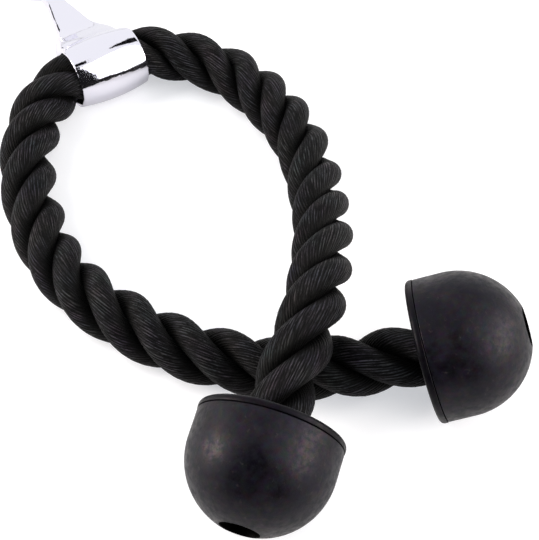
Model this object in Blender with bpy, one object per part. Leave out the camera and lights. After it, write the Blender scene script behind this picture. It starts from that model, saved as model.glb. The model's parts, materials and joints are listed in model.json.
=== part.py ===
"""Triceps rope attachment: a laid rope through a cast eye collar, with a ball end on each leg.

The part lies on the floor, z = 0, as it rests when it is put down. The collar's bore runs along
X and its eye points to +Y. The right leg crosses over the left one before it enters its ball.
Lengths are in metres, angles in degrees.
"""

import math

import bmesh
import bpy
from mathutils import Vector

# Driving sizes of the rope and the fits on it
ROPE_DIAMETER = 0.027
ROPE_FIT = 0.0004            # clearance of a bore that turns on the rope
SEAT_GAP = 0.0003            # gap between faces that bear on each other
CRIMP_GAP = 0.0003           # gap between the rope and what is crimped or wound on it
ROPE_SIDES = 12
ROUTE_STEP = 0.011           # the rope bends within two diameters, so its rings stand close
FINE_STEPS = 96              # how finely the route is followed between its given points
END_LEAD = 0.0030            # the straight bit that squares the end of each stretch
FLEX_START = 0.066           # where the right leg's flexing stretch starts, along the leg
FLEX_LENGTH = 0.048

# Cast collar: barrel, web, neck and eye in one piece
COLLAR_CENTRE = Vector((0.0060, 0.0980))
COLLAR_LENGTH = 0.0375
COLLAR_RADIUS = 0.017
COLLAR_END_RADIUS = 0.0153   # the barrel draws in towards its mouths
COLLAR_RIM_ROUND = 0.0006
MOUTH_FLARE = 0.0005
EYE_DISTANCE = 0.0795        # from the bore's axis to the centre of the eye's hole
EYE_RADIUS = 0.0115
EYE_HOLE_RADIUS = 0.0070
EYE_THICKNESS = 0.0095
EYE_EDGE_ROUND = 0.0016
EYE_HOLE_EASE = 0.0008
NECK_WIDTH = 0.0092
NECK_THICKNESS = 0.0084      # less than the eye's, so that the eye stands proud all round
CUT_OVERRUN = 0.004          # how far every cutter runs past what it cuts
COLLAR_SIDES = 40
BARREL_STEPS = 8
EYE_SIDES = 36
WEB_SIDES = 20
WEB_SQUARENESS = 3.2         # exponent of the web's section, between an ellipse and a box

# Ball ends: a moulded dome that snaps over the spigot of its lid
BALL_RADIUS = 0.0311
LID_LIP = 0.0002             # how far the lid's rim stands out past the dome
LID_THICKNESS = 0.0040
LID_EDGE_ROUND = 0.0014
DOME_CENTRE = 0.0154         # from the lid's outer face to the centre of the dome's sphere
DOME_WALL_SHARE = 0.324      # walls in the ball are shares of the room between rope and outside
DOME_SHOULDER_ROUND = 0.0012
APEX_HOLE_RADIUS = 0.0100
APEX_EASE = 0.0010
SPIGOT_WALL_SHARE = 0.208
SPIGOT_HEIGHT = 0.0070
BALL_SIDES = 36
ARC_STEPS = 7
ROUND_STEPS = 2

# What holds the rope inside a ball
WASHER_GAP_SHARE = 0.150     # from the washer's edge to the spigot that it lies in
WASHER_THICKNESS = 0.0025
FERRULE_WALL_SHARE = 0.173
FERRULE_LENGTH = 0.0180
FERRULE_EDGE = 0.0008
WHIPPING_WALL = 0.0008
WHIPPING_LENGTH = 0.0050
ROPE_TAIL = 0.0015           # the fused tip that stands out of the whipping
FITTING_SIDES = 32

# Where each ball lies: its lid's centre, its heading and how far its apex tips up
RIGHT_BALL_PLACE = Vector((-0.0389, -0.1482))
RIGHT_BALL_HEADING = -138.6
RIGHT_BALL_TIP = -16.0
LEFT_BALL_PLACE = Vector((0.0366, -0.1463))
LEFT_BALL_HEADING = -25.8
LEFT_BALL_TIP = 17.0

# The rope's centreline between the collar's mouths and the lids, chosen by hand
RIGHT_ROUTE = [
    (0.0341, 0.0964, 0.0169), (0.0429, 0.0913, 0.0163), (0.0510, 0.0819, 0.0154),
    (0.0576, 0.0719, 0.0145), (0.0625, 0.0598, 0.0138), (0.0658, 0.0461, 0.0136),
    (0.0673, 0.0312, 0.0136), (0.0674, 0.0160, 0.0136), (0.0652, 0.0013, 0.0140),
    (0.0615, -0.0126, 0.0156), (0.0562, -0.0263, 0.0185), (0.0497, -0.0399, 0.0225),
    (0.0428, -0.0534, 0.0270), (0.0350, -0.0669, 0.0317), (0.0261, -0.0804, 0.0362),
    (0.0164, -0.0938, 0.0399), (0.0055, -0.1073, 0.0423), (-0.0068, -0.1199, 0.0427),
    (-0.0194, -0.1310, 0.0410),
]
LEFT_ROUTE = [
    (-0.0205, 0.0972, 0.0169), (-0.0295, 0.0937, 0.0163), (-0.0380, 0.0870, 0.0153),
    (-0.0449, 0.0778, 0.0143), (-0.0521, 0.0667, 0.0137), (-0.0585, 0.0542, 0.0136),
    (-0.0637, 0.0405, 0.0136), (-0.0677, 0.0258, 0.0136), (-0.0706, 0.0106, 0.0136),
    (-0.0717, -0.0050, 0.0136), (-0.0707, -0.0210, 0.0136), (-0.0671, -0.0365, 0.0136),
    (-0.0612, -0.0520, 0.0136), (-0.0537, -0.0674, 0.0136), (-0.0442, -0.0819, 0.0136),
    (-0.0331, -0.0948, 0.0136), (-0.0210, -0.1064, 0.0136), (-0.0084, -0.1165, 0.0143),
    (0.0049, -0.1258, 0.0174), (0.0188, -0.1357, 0.0229),
]

# The web from the barrel to the eye, in shares chosen by hand. Distance is a share of the way
# from the bore's axis to the eye's hole. Width and thickness are shares of what the barrel has
# over the neck, so that 1 is as wide as the barrel and 0 is the neck itself.
WEB_SHARES = [
    (0.114, 0.91, 0.73), (0.171, 0.93, 0.61), (0.229, 0.93, 0.47), (0.286, 0.89, 0.315),
    (0.343, 0.78, 0.175), (0.400, 0.58, 0.080), (0.457, 0.41, 0.035), (0.529, 0.31, 0.015),
    (0.614, 0.23, 0.005), (0.714, 0.115, 0.0), (0.800, 0.03, 0.0), (0.900, 0.0, 0.0),
    (0.971, 0.0, 0.0),
]

# Finishes
CHROME = {"colour": (0.78, 0.79, 0.83), "roughness": 0.08, "metallic": 1.0}
ROPE_BLACK = {"colour": (0.012, 0.012, 0.013), "roughness": 0.62}
BALL_BLACK = {"colour": (0.020, 0.020, 0.022), "roughness": 0.45}
ZINC = {"colour": (0.55, 0.56, 0.57), "roughness": 0.35, "metallic": 1.0}
TAPE = {"colour": (0.015, 0.015, 0.016), "roughness": 0.35}

# What follows from the sizes above
ROPE_RADIUS = ROPE_DIAMETER / 2
BORE_RADIUS = ROPE_RADIUS + ROPE_FIT
CRIMP_RADIUS = ROPE_RADIUS + CRIMP_GAP
BALL_ROOM = BALL_RADIUS - CRIMP_RADIUS
LID_RADIUS = BALL_RADIUS + LID_LIP
DOME_WALL = BALL_ROOM * DOME_WALL_SHARE
SPIGOT_RADIUS = BALL_RADIUS - DOME_WALL - SEAT_GAP
SPIGOT_INNER_RADIUS = SPIGOT_RADIUS - BALL_ROOM * SPIGOT_WALL_SHARE
WASHER_RADIUS = SPIGOT_INNER_RADIUS - BALL_ROOM * WASHER_GAP_SHARE
FERRULE_RADIUS = CRIMP_RADIUS + BALL_ROOM * FERRULE_WALL_SHARE
UP = Vector((0, 0, 1))
TURN = 2 * math.pi
SAME_POINT = 1e-7


def material(name, colour, roughness, metallic=0.0):
    """A plain Principled material."""
    made = bpy.data.materials.new(name)
    made.use_nodes = True
    shader = made.node_tree.nodes["Principled BSDF"]
    shader.inputs["Base Color"].default_value = (*colour, 1)
    shader.inputs["Roughness"].default_value = roughness
    shader.inputs["Metallic"].default_value = metallic
    made.diffuse_color = (*colour, 1)
    return made


def add_object(name, data, finish):
    """Put a mesh or curve in the scene as the node of that name, with its own material."""
    made = bpy.data.objects.new(name, data)
    bpy.context.scene.collection.objects.link(made)
    data.materials.append(material(f"{name}_finish", **finish))
    return made


def empty(name, place, carrier=None):
    """An empty at a place in the part's frame, carried by another one that isn't turned."""
    made = bpy.data.objects.new(name, None)
    bpy.context.scene.collection.objects.link(made)
    made.parent = carrier
    made.location = place - carrier.location if carrier else place
    return made


def finish_mesh(name, bm, sharp_angle):
    """Turn a bmesh into a mesh with its faces out, smooth but for its sharp edges."""
    bmesh.ops.remove_doubles(bm, verts=bm.verts, dist=SAME_POINT)
    bmesh.ops.recalc_face_normals(bm, faces=bm.faces)
    mesh = bpy.data.meshes.new(name)
    bm.to_mesh(mesh)
    bm.free()
    mesh.shade_smooth()
    mesh.set_sharp_from_angle(angle=math.radians(sharp_angle))
    return mesh


def arc(centre, radius, start, end, steps):
    """Points (radius, height) of a round stretch of a turned profile, angles in degrees."""
    across, up = centre
    angles = [math.radians(start + (end - start) * i / steps) for i in range(steps + 1)]
    return [(across + radius * math.cos(a), up + radius * math.sin(a)) for a in angles]


def turned(name, profile, sides, sharp_angle=40):
    """A body of revolution about Z from (radius, height) points. A profile that starts and ends
    on the axis makes a plug, and any other one is closed on itself and makes a ring."""
    bm = bmesh.new()
    line = [bm.verts.new((radius, 0, height)) for radius, height in profile]
    is_plug = profile[0][0] == profile[-1][0] == 0
    edges = [bm.edges.new(pair) for pair in zip(line, line[1:] if is_plug else line[1:] + line[:1])]
    bmesh.ops.spin(
        bm, geom=line + edges, cent=(0, 0, 0), axis=UP, angle=TURN, steps=sides, use_merge=True
    )
    return finish_mesh(name, bm, sharp_angle)


def smooth_line(points, start_way, end_way):
    """A fine line on a smooth curve through the given points, with set end directions."""
    reach = [(b - a).length for a, b in zip(points, points[1:])]
    ways = [start_way.normalized()]
    for i in range(1, len(points) - 1):
        before, after = reach[i - 1], reach[i]
        slope_in, slope_out = (points[i] - points[i - 1]) / before, (points[i + 1] - points[i]) / after
        ways.append((slope_in * after + slope_out * before) / (before + after))
    ways.append(end_way.normalized())
    fine = []
    for i, span in enumerate(reach):
        for k in range(FINE_STEPS):
            t = k / FINE_STEPS
            fine.append(
                points[i] * (2 * t**3 - 3 * t**2 + 1)
                + ways[i] * span * (t**3 - 2 * t**2 + t)
                + points[i + 1] * (3 * t**2 - 2 * t**3)
                + ways[i + 1] * span * (t**3 - t**2)
            )
    fine.append(points[-1])
    return fine


def length_of(line):
    return sum((b - a).length for a, b in zip(line, line[1:]))


def place_on(line, distance):
    """The point and the direction of a fine line at a distance along it."""
    walked = 0.0
    for a, b in zip(line, line[1:]):
        step = (b - a).length
        if walked + step >= distance:
            break
        walked += step
    way = (b - a).normalized()
    return a + way * (distance - walked), way


def stretch(line, start, end):
    """Points along a part of a fine line, in even steps, with a straight lead to each square end."""
    (first, first_way), (last, last_way) = place_on(line, start), place_on(line, end)
    steps = max(2, round((end - start) / ROUTE_STEP))
    points = [first, first + first_way * END_LEAD]
    points += [place_on(line, start + (end - start) * i / steps)[0] for i in range(1, steps)]
    return points + [last - last_way * END_LEAD, last]


def rope(name, points, carrier=None):
    """A closed round tube along the points, the plain solid of one stretch of the rope."""
    base = carrier.location if carrier else Vector()
    curve = bpy.data.curves.new(name, "CURVE")
    curve.dimensions = "3D"
    curve.twist_mode = "MINIMUM"
    curve.bevel_depth = ROPE_RADIUS
    curve.bevel_resolution = ROPE_SIDES // 2 - 2
    curve.use_fill_caps = True
    line = curve.splines.new("POLY")
    line.points.add(len(points) - 1)
    for point, place in zip(line.points, points):
        point.co = (*(place - base), 1)
    made = add_object(name, curve, ROPE_BLACK)
    made.parent = carrier


def hidden_cutter(name, mesh):
    made = bpy.data.objects.new(name, mesh)
    bpy.context.scene.collection.objects.link(made)
    made.hide_render = True
    made.display_type = "WIRE"
    return made


def combine(target, cutter, operation):
    boolean = target.modifiers.new(cutter.name, "BOOLEAN")
    boolean.object = cutter
    boolean.operation = operation
    boolean.solver = "EXACT"


def collar_barrel():
    """The barrel as a solid plug, which the bore is cut through afterwards."""
    half, edge = COLLAR_LENGTH / 2, COLLAR_RIM_ROUND
    bulge = COLLAR_RADIUS - COLLAR_END_RADIUS
    straight_half = half - edge
    profile = [(0, -half)]
    profile += arc((COLLAR_END_RADIUS - edge, -straight_half), edge, -90, 0, ROUND_STEPS)
    for i in range(1, BARREL_STEPS):
        along = -1 + 2 * i / BARREL_STEPS
        profile.append((COLLAR_RADIUS - bulge * along**2, straight_half * along))
    profile += arc((COLLAR_END_RADIUS - edge, straight_half), edge, 0, 90, ROUND_STEPS)
    profile.append((0, half))
    return turned("collar", profile, COLLAR_SIDES)


def through_cutter(name, half, radius, wide, sides):
    """A round cutter for a through hole that widens at both faces, where it runs on past them."""
    over, narrow = half + CUT_OVERRUN, half - (wide - radius)
    profile = [(0, -over), (wide, -over), (wide, -half), (radius, -narrow)]
    profile += [(radius, narrow), (wide, half), (wide, over), (0, over)]
    return turned(name, profile, sides)


def bore_cutter():
    """The bore with its flared mouths."""
    half = COLLAR_LENGTH / 2
    flare = BORE_RADIUS + MOUTH_FLARE
    return through_cutter("bore_cutter", half, BORE_RADIUS, flare, COLLAR_SIDES)


def web_and_neck():
    """The web that rises from the barrel and narrows to the neck, lofted along +Y."""
    bm = bmesh.new()
    rings = []
    reach = EYE_DISTANCE - EYE_HOLE_RADIUS
    neck_across, neck_up = NECK_WIDTH / 2, NECK_THICKNESS / 2
    for distance, width, thickness in WEB_SHARES:
        half_width = neck_across + width * (COLLAR_LENGTH / 2 - neck_across)
        half_thickness = neck_up + thickness * (COLLAR_RADIUS - neck_up)
        ring = []
        for i in range(WEB_SIDES):
            angle = TURN * i / WEB_SIDES
            across, up = math.cos(angle), math.sin(angle)
            x = math.copysign(abs(across) ** (2 / WEB_SQUARENESS), across) * half_width
            z = math.copysign(abs(up) ** (2 / WEB_SQUARENESS), up) * half_thickness
            ring.append(bm.verts.new((x, distance * reach, z)))
        rings.append(ring)
    for near, far in zip(rings, rings[1:]):
        for i in range(WEB_SIDES):
            j = (i + 1) % WEB_SIDES
            bm.faces.new((near[i], near[j], far[j], far[i]))
    bm.faces.new(rings[0])
    bm.faces.new(rings[-1])
    return finish_mesh("web_and_neck", bm, 40)


def eye_disc():
    """The eye's round boss, without its hole."""
    half, edge = EYE_THICKNESS / 2, EYE_EDGE_ROUND
    profile = [(0, -half)]
    profile += arc((EYE_RADIUS - edge, edge - half), edge, -90, 0, ROUND_STEPS + 1)
    profile += arc((EYE_RADIUS - edge, half - edge), edge, 0, 90, ROUND_STEPS + 1)
    profile.append((0, half))
    return turned("eye_disc", profile, EYE_SIDES)


def eye_hole_cutter():
    """The eye's hole with its eased edges."""
    half = EYE_THICKNESS / 2
    wide = EYE_HOLE_RADIUS + EYE_HOLE_EASE
    return through_cutter("eye_hole_cutter", half, EYE_HOLE_RADIUS, wide, EYE_SIDES)


def build_collar():
    """Barrel, web, neck and eye joined into one casting, then bored."""
    axis = empty("collar_axis", Vector((*COLLAR_CENTRE, COLLAR_RADIUS)))
    collar = add_object("collar", collar_barrel(), CHROME)
    web = hidden_cutter("web_and_neck", web_and_neck())
    eye = hidden_cutter("eye_disc", eye_disc())
    bore = hidden_cutter("bore_cutter", bore_cutter())
    hole = hidden_cutter("eye_hole_cutter", eye_hole_cutter())
    for turned_about_x in (collar, bore):
        turned_about_x.data.transform(UP.rotation_difference(Vector((1, 0, 0))).to_matrix().to_4x4())
    for at_the_eye in (eye, hole):
        at_the_eye.location = (0, EYE_DISTANCE, 0)
    for piece in (collar, web, eye, bore, hole):
        piece.parent = axis
    combine(collar, web, "UNION")
    combine(collar, eye, "UNION")
    combine(collar, bore, "DIFFERENCE")
    combine(collar, hole, "DIFFERENCE")


def ball_way(heading, tip):
    """The direction from a ball's lid to its apex."""
    flat, rise = math.radians(heading), math.radians(tip)
    return Vector((math.cos(flat) * math.cos(rise), math.sin(flat) * math.cos(rise), math.sin(rise)))


def lid_centre(place, way):
    """A ball rests on its dome if its apex tips down, and on its lid's rim if it tips up."""
    on_dome = BALL_RADIUS - DOME_CENTRE * way.z
    on_rim = LID_RADIUS * math.hypot(way.x, way.y)
    return Vector((*place, on_dome if way.z < 0 else on_rim))


def lid_mesh():
    """The lid's disc with its rounded rim, the rope's hole and the spigot that enters the dome."""
    top = LID_THICKNESS + SPIGOT_HEIGHT
    edge = LID_EDGE_ROUND
    profile = [(BORE_RADIUS, edge)]
    profile += [(BORE_RADIUS + edge, 0)]
    profile += arc((LID_RADIUS - edge, edge), edge, -90, 0, ROUND_STEPS)
    profile += [(LID_RADIUS, LID_THICKNESS), (SPIGOT_RADIUS, LID_THICKNESS)]
    profile += [(SPIGOT_RADIUS, top - edge / 2), (SPIGOT_RADIUS - edge / 2, top)]
    profile += [(SPIGOT_INNER_RADIUS, top), (SPIGOT_INNER_RADIUS, LID_THICKNESS)]
    profile.append((BORE_RADIUS, LID_THICKNESS))
    return turned("lid", profile, BALL_SIDES)


def dome_mesh():
    """A short cylinder that closes to a hemisphere, open at the apex."""
    foot = LID_THICKNESS + SEAT_GAP
    inner = BALL_RADIUS - DOME_WALL
    shoulder = DOME_SHOULDER_ROUND
    eased = math.acos((APEX_HOLE_RADIUS + APEX_EASE) / BALL_RADIUS)
    outer_end = math.degrees(eased)
    inner_end = math.degrees(math.acos(APEX_HOLE_RADIUS / inner))
    mouth = DOME_CENTRE + BALL_RADIUS * math.sin(eased)
    profile = arc((BALL_RADIUS - shoulder, foot + shoulder), shoulder, -90, 0, ROUND_STEPS)
    profile += arc((0, DOME_CENTRE), BALL_RADIUS, 0, outer_end, ARC_STEPS)
    profile.append((APEX_HOLE_RADIUS, mouth - APEX_EASE))
    profile += arc((0, DOME_CENTRE), inner, inner_end, 0, ARC_STEPS - 2)
    profile.append((inner, foot))
    return turned("dome", profile, BALL_SIDES)


def washer_mesh():
    base = LID_THICKNESS + SEAT_GAP
    profile = [(CRIMP_RADIUS, base), (WASHER_RADIUS, base)]
    profile += [(WASHER_RADIUS, base + WASHER_THICKNESS), (CRIMP_RADIUS, base + WASHER_THICKNESS)]
    return turned("washer", profile, FITTING_SIDES)


def ferrule_base():
    return LID_THICKNESS + SEAT_GAP + WASHER_THICKNESS + SEAT_GAP


def ferrule_mesh():
    """The crimped sleeve, with eased outer edges."""
    base, edge = ferrule_base(), FERRULE_EDGE
    top, outer = base + FERRULE_LENGTH, FERRULE_RADIUS
    profile = [(CRIMP_RADIUS, base), (outer - edge, base), (outer, base + edge), (outer, top - edge)]
    profile += [(outer - edge, top), (CRIMP_RADIUS, top)]
    return turned("ferrule", profile, FITTING_SIDES)


def whipping_base():
    return ferrule_base() + FERRULE_LENGTH + SEAT_GAP


def whipping_mesh():
    """The binding that keeps the cut strands together."""
    base = whipping_base()
    top, outer = base + WHIPPING_LENGTH, CRIMP_RADIUS + WHIPPING_WALL
    profile = [(CRIMP_RADIUS, base), (outer, base), (outer, top), (CRIMP_RADIUS, top)]
    return turned("whipping", profile, FITTING_SIDES)


def build_ball(side, centre, way, meshes, carrier):
    """One ball end: each piece is turned about the ball's axis and stands on the lid's centre."""
    axis = empty(f"{side}_ball_axis", centre, carrier)
    axis.rotation_mode = "QUATERNION"
    axis.rotation_quaternion = way.to_track_quat("Z", "Y")
    for piece, (mesh, finish) in meshes.items():
        made = add_object(f"{side}_{piece}", mesh.copy(), finish)
        made.parent = axis
    tip = whipping_base() + WHIPPING_LENGTH + ROPE_TAIL
    rope(f"rope_{side}_end", [centre + way * SEAT_GAP, centre + way * tip], carrier)


def build_rope(ends):
    """The rope's stretches between the balls, and the empty that carries the right leg's far part."""
    half = COLLAR_LENGTH / 2
    middle = Vector((*COLLAR_CENTRE, COLLAR_RADIUS))
    to_mouth = Vector((half, 0, 0))
    rope("rope_middle", [middle - to_mouth, middle + to_mouth])
    for side, route, out in (("left", LEFT_ROUTE, -1), ("right", RIGHT_ROUTE, 1)):
        centre, way = ends[side]
        out_way = Vector((out, 0, 0))
        start = middle + to_mouth * out + out_way * SEAT_GAP
        line = smooth_line([start, *map(Vector, route), centre], out_way, way)
        total = length_of(line)
        print(f"{side} leg: {total:.4f} m along its centreline")
        if side == "left":
            rope("rope_left_leg", stretch(line, 0, total))
    flex_end = FLEX_START + FLEX_LENGTH
    bend_middle, _ = place_on(line, (FLEX_START + flex_end) / 2)
    carrier = empty("right_leg_axis", bend_middle)
    rope("rope_right_root", stretch(line, 0, FLEX_START))
    rope("rope_right_flex", stretch(line, FLEX_START + SEAT_GAP, flex_end))
    rope("rope_right_leg", stretch(line, flex_end + SEAT_GAP, total), carrier)
    return carrier


def main():
    for old in list(bpy.data.objects):
        bpy.data.objects.remove(old)
    build_collar()
    ends = {}
    for side, place, heading, tip in (
        ("left", LEFT_BALL_PLACE, LEFT_BALL_HEADING, LEFT_BALL_TIP),
        ("right", RIGHT_BALL_PLACE, RIGHT_BALL_HEADING, RIGHT_BALL_TIP),
    ):
        way = ball_way(heading, tip)
        ends[side] = (lid_centre(place, way), way)
    meshes = {
        "lid": (lid_mesh(), BALL_BLACK),
        "dome": (dome_mesh(), BALL_BLACK),
        "washer": (washer_mesh(), ZINC),
        "ferrule": (ferrule_mesh(), ZINC),
        "whipping": (whipping_mesh(), TAPE),
    }
    carriers = {"left": None, "right": build_rope(ends)}
    for side, (centre, way) in ends.items():
        build_ball(side, centre, way, meshes, carriers[side])


main()
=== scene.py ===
"""Triceps rope attachment: the looks of its laid rope, chromed eye collar and two ball ends.

The file is laid out as a Blender add-on and is run as a script. Every piece is made round the
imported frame, in the frame's own metres. Angles are in degrees unless a name says otherwise.
"""

import json
import math
import random

import bmesh
import bpy
from mathutils import Matrix, Vector, noise


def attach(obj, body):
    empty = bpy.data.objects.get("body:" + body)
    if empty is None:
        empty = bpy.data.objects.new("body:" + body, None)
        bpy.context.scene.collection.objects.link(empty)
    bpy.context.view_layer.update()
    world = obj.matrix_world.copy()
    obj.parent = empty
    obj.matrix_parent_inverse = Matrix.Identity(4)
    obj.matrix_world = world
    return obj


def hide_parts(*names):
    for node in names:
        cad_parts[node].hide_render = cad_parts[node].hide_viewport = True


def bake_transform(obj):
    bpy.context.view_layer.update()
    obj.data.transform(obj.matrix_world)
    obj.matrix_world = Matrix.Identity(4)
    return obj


bl_info = {
    "name": "Triceps Rope Attachment",
    "version": (1, 0, 0),
    "blender": (4, 5, 0),
    "location": "View3D > Sidebar > Rope",
    "description": "Builds the rope, collar, balls and studio round the packed frame",
    "category": "Object",
}

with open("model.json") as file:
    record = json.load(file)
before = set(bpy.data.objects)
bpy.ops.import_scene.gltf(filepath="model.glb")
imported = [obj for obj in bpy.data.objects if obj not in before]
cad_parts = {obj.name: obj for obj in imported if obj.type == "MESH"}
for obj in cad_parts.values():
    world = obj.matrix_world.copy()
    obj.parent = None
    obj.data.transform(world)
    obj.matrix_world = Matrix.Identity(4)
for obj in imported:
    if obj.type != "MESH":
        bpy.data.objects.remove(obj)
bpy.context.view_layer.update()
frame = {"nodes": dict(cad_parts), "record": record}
JOINTS = {joint["name"]: joint for joint in frame["record"]["behaviour"]["joints"]}
UP = Vector((0, 0, 1))
TURN = 2 * math.pi
MM = 0.001
MERGE_DISTANCE = 1e-7    # points closer than this are one

# The rope's centreline from each mouth of the collar to the ball on that leg, in metres
RIGHT_ROUTE = [
    (0.0341, 0.0964, 0.0169), (0.0429, 0.0913, 0.0163), (0.0510, 0.0819, 0.0154),
    (0.0576, 0.0719, 0.0145), (0.0625, 0.0598, 0.0138), (0.0658, 0.0461, 0.0136),
    (0.0673, 0.0312, 0.0136), (0.0674, 0.0160, 0.0136), (0.0652, 0.0013, 0.0140),
    (0.0615, -0.0126, 0.0156), (0.0562, -0.0263, 0.0185), (0.0497, -0.0399, 0.0225),
    (0.0428, -0.0534, 0.0270), (0.0350, -0.0669, 0.0317), (0.0261, -0.0804, 0.0362),
    (0.0164, -0.0938, 0.0399), (0.0055, -0.1073, 0.0423), (-0.0068, -0.1199, 0.0427),
    (-0.0194, -0.1310, 0.0410),
]
LEFT_ROUTE = [
    (-0.0205, 0.0972, 0.0169), (-0.0295, 0.0937, 0.0163), (-0.0380, 0.0870, 0.0153),
    (-0.0449, 0.0778, 0.0143), (-0.0521, 0.0667, 0.0137), (-0.0585, 0.0542, 0.0136),
    (-0.0637, 0.0405, 0.0136), (-0.0677, 0.0258, 0.0136), (-0.0706, 0.0106, 0.0136),
    (-0.0717, -0.0050, 0.0136), (-0.0707, -0.0210, 0.0136), (-0.0671, -0.0365, 0.0136),
    (-0.0612, -0.0520, 0.0136), (-0.0537, -0.0674, 0.0136), (-0.0442, -0.0819, 0.0136),
    (-0.0331, -0.0948, 0.0136), (-0.0210, -0.1064, 0.0136), (-0.0084, -0.1165, 0.0143),
    (0.0049, -0.1258, 0.0174), (0.0188, -0.1357, 0.0229),
]

# How far the strands have turned, in degrees, at distances in millimetres from each mouth. A rope
# in use doesn't keep an even lay: these turns are 64 to 86 mm long.
RIGHT_TURNS = [
    (0, 75), (7, 41), (29.7, -78), (53.2, -190), (75.2, -306), (95.7, -421), (117.7, -534),
    (143.7, -643), (169.2, -756), (195.2, -871), (220.7, -986), (243.7, -1104), (304.5, -1393),
]
LEFT_TURNS = [
    (0, -84), (16, -5), (40.2, 126), (69.7, 258), (98.7, 387), (124.7, 517), (150.2, 649),
    (176.7, 773), (213.7, 956), (258, 1173), (300.5, 1383), (316, 1458),
]

# How far the rope lies inside its route's bend, at distances from each mouth, in millimetres
RIGHT_LEAN = [
    (0, 0.0), (3, 0.8), (8, 1.9), (14, 2.4), (20, 2.45), (31, 1.75), (43, 0.4), (55, -0.2),
    (70, -0.7), (95, -0.75), (115, -0.8), (140, -0.5), (165, -0.7), (190, -0.9), (215, -0.95),
    (240, -0.7), (265, -0.3), (290, 0.0), (306, 0.0),
]
LEFT_LEAN = [
    (0, 0.0), (3, 0.7), (8, 1.7), (14, 2.4), (20, 2.5), (31, 1.9), (43, 1.1), (58, 0.8),
    (72, 0.75), (100, 0.55), (127, 0.4), (152, 0.45), (179, 0.4), (205, 0.25), (225, 0.0),
    (318, 0.0),
]

# The web from the barrel to the eye: distance as a share of the way from the bore to the eye's
# hole, then width and thickness as shares of what the barrel has over the neck
WEB_SHARES = [
    (0.114, 0.91, 0.73), (0.171, 0.93, 0.61), (0.229, 0.93, 0.47), (0.286, 0.89, 0.315),
    (0.343, 0.78, 0.175), (0.400, 0.58, 0.080), (0.457, 0.41, 0.035), (0.529, 0.31, 0.015),
    (0.614, 0.23, 0.005), (0.714, 0.115, 0.0), (0.800, 0.03, 0.0), (0.900, 0.0, 0.0),
    (0.971, 0.0, 0.0),
]


def hex_colour(text):
    """A hex sRGB colour as linear red, green and blue."""
    channels = [int(text[i:i + 2], 16) / 255 for i in (1, 3, 5)]
    return tuple(c / 12.92 if c <= 0.04045 else ((c + 0.055) / 1.055) ** 2.4 for c in channels)


def length_setting(name, description, default):
    return bpy.props.FloatProperty(
        name=name, description=description, default=default, unit="LENGTH", precision=5, min=0.0
    )


def colour_setting(name, description, default):
    return bpy.props.FloatVectorProperty(
        name=name, description=description, default=hex_colour(default), subtype="COLOR",
        min=0.0, max=1.0,
    )


class LaidRopeSettings(bpy.types.PropertyGroup):
    """Sizes and colours of the three-strand rope."""

    diameter: length_setting("Diameter", "Thickness of the free rope over its strands", 0.0276)
    held_diameter: length_setting("Held diameter", "Thickness in the collar and the lids", 0.0272)
    strand: length_setting("Strand", "Thickness of one strand", 0.0124)
    dark: colour_setting("Dark filament", "Nylon filament in the shade", "#030304")
    # The light filament colour is a painted highlight, the filaments' sheen painted into the colour
    light: colour_setting("Light filament", "Nylon filament that catches the light", "#403f44")
    fuzz: bpy.props.IntProperty(
        name="Loose fibres", description="Loose fibres on each leg", default=70, min=0
    )


class CollarSettings(bpy.types.PropertyGroup):
    """Sizes and colour of the cast collar."""

    length: length_setting("Length", "Length of the barrel", 0.0375)
    radius: length_setting("Radius", "Radius of the barrel at its middle", 0.017)
    end_radius: length_setting("End radius", "Radius of the barrel at its mouths", 0.0153)
    bore: length_setting("Bore", "Radius of the bore round the rope", 0.0139)
    eye_distance: length_setting("Eye distance", "From the bore to the eye's hole", 0.0795)
    eye_radius: length_setting("Eye radius", "Outer radius of the eye", 0.0115)
    eye_hole: length_setting("Eye hole", "Radius of the eye's hole", 0.0070)
    eye_thickness: length_setting("Eye thickness", "Thickness of the eye", 0.0095)
    neck_width: length_setting("Neck width", "Width of the neck below the eye", 0.0092)
    neck_thickness: length_setting("Neck thickness", "Thickness of the neck", 0.0084)
    grain: length_setting("Mesh grain", "Face size of the casting's skin", 0.00045)
    plating: colour_setting("Plating", "Colour of the chrome plating", "#eeedf8")


class BallSettings(bpy.types.PropertyGroup):
    """Sizes and colours of the moulded ball ends."""

    radius: length_setting("Radius", "Radius of the dome", 0.0311)
    lid_radius: length_setting("Lid radius", "Radius of the lid", 0.0313)
    lid_thickness: length_setting("Lid thickness", "Thickness of the lid", 0.0032)
    centre: length_setting("Centre", "From the lid's face to the dome's centre", 0.0154)
    seam: length_setting("Seam", "Gap between lid and dome", 0.0002)
    hole: length_setting("Hole", "Radius of the hole at the apex", 0.0086)
    wall: length_setting("Wall", "Wall of the dome", 0.0056)
    rubber: colour_setting("Rubber", "Moulded rubber", "#030308")
    scuff: colour_setting("Scuff", "Rubber where it is rubbed", "#141017")


class StudioSettings(bpy.types.PropertyGroup):
    """The plain studio round the attachment."""

    floor: length_setting("Floor", "Half the side of the floor", 4.0)
    white: bpy.props.FloatProperty(
        name="White", description="Brightness of the floor as the camera sees it", default=1.0
    )
    fill: bpy.props.FloatProperty(
        name="Fill", description="Light that comes from all round", default=0.55
    )


class AttachmentSettings(bpy.types.PropertyGroup):
    """Everything that a user of this file would change."""

    rope: bpy.props.PointerProperty(type=LaidRopeSettings)
    collar: bpy.props.PointerProperty(type=CollarSettings)
    ball: bpy.props.PointerProperty(type=BallSettings)
    studio: bpy.props.PointerProperty(type=StudioSettings)


def add_object(name, data, material=None):
    """Put a mesh, lamp or camera in the scene. A mesh gets one material."""
    made = bpy.data.objects.new(name, data)
    bpy.context.scene.collection.objects.link(made)
    if material:
        data.materials.append(material)
    return made


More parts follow.
